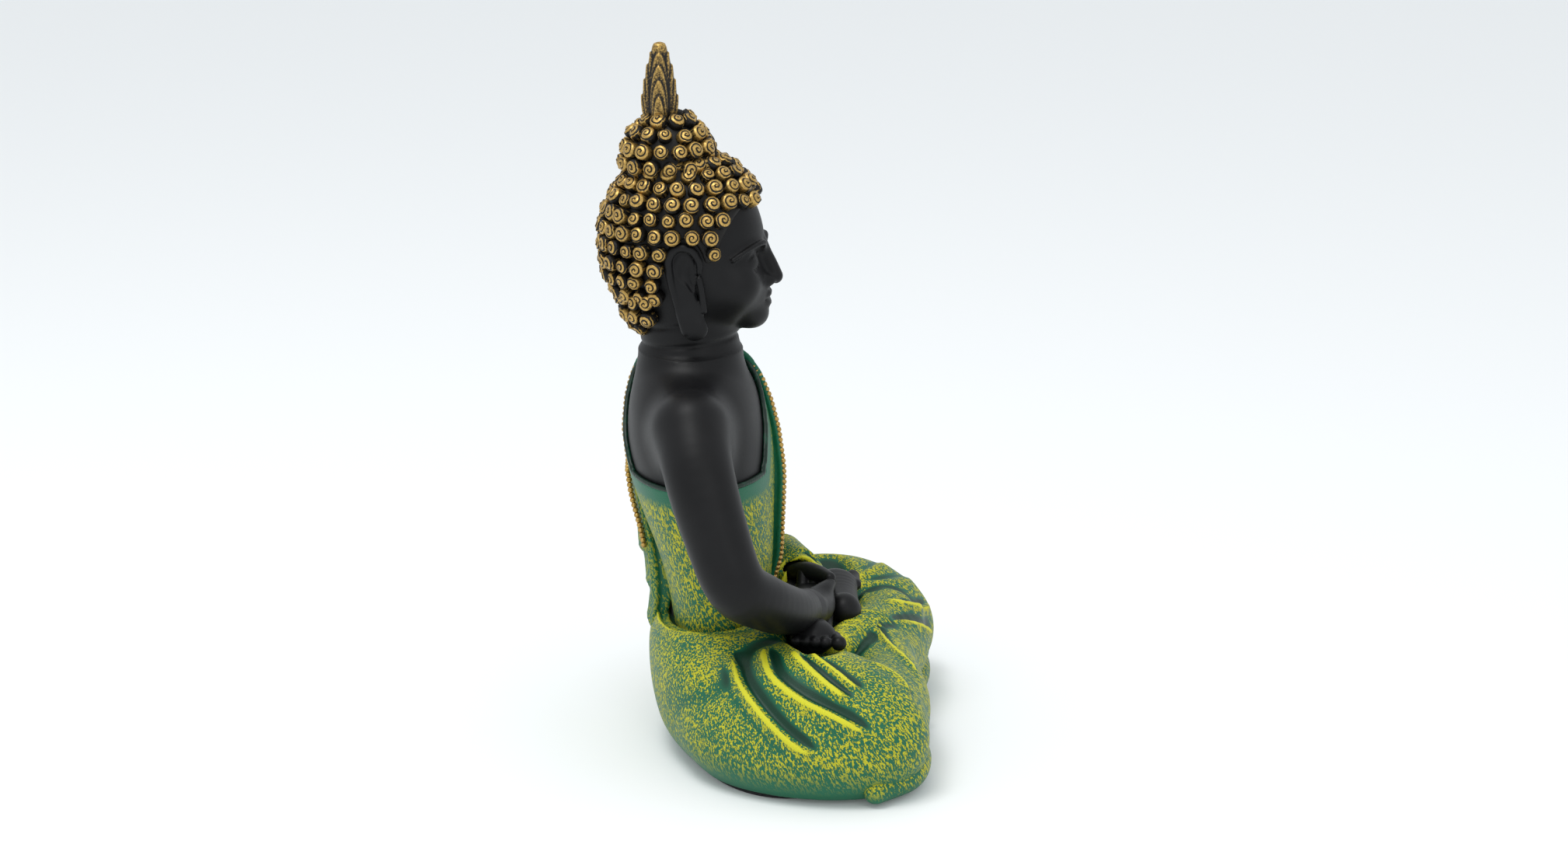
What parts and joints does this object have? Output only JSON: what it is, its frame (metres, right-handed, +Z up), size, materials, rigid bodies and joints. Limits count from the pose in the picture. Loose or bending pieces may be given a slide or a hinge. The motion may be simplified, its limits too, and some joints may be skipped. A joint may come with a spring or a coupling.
{
  "type": "seated buddha statue",
  "caption": "Seated Buddha statue in painted cast resin: full lotus, hands in the lap, draped robe and shoulder shawl, curled hair, flame finial, felt base.",
  "frame": {"origin": "middle of the bounding box at the surface that the statue stands on", "axes": "+Z up; the figure faces -Y and its left side is towards +X"},
  "size_m": [0.1958, 0.1422, 0.296],
  "materials": {
    "skin": "near-black satin paint over cast resin, with faint casting pinholes",
    "robe": "dark green paint, dry-brushed yellow on the raised folds, semi-matt",
    "gold": "antique gold paint rubbed over black",
    "hair": "black paint with gold rubbed over the raised curls",
    "felt": "thin black felt sheet",
    "resin": "bare grey cast resin"
  },
  "bodies": {
    "root": {"felt_base": "felt", "base_plate": "resin", "lap_robe": "robe", "torso": "skin", "under_robe": "robe", "shoulder_shawl": "robe", "shawl_fall": "robe", "front_bead_cord": "gold", "side_bead_cord": "gold", "back_bead_cord": "gold", "head": "skin", "right_ear": "skin", "left_ear": "skin", "hair_cap": "hair", "topknot": "hair", "finial": "gold", "right_arm": "skin", "left_sleeve": "robe", "right_hand": "skin", "left_hand": "skin", "left_foot": "skin", "right_foot": "skin", "right_knee_hem": "robe", "left_knee_hem": "robe", "centre_hem": "robe"}
  },
  "joints": []
}
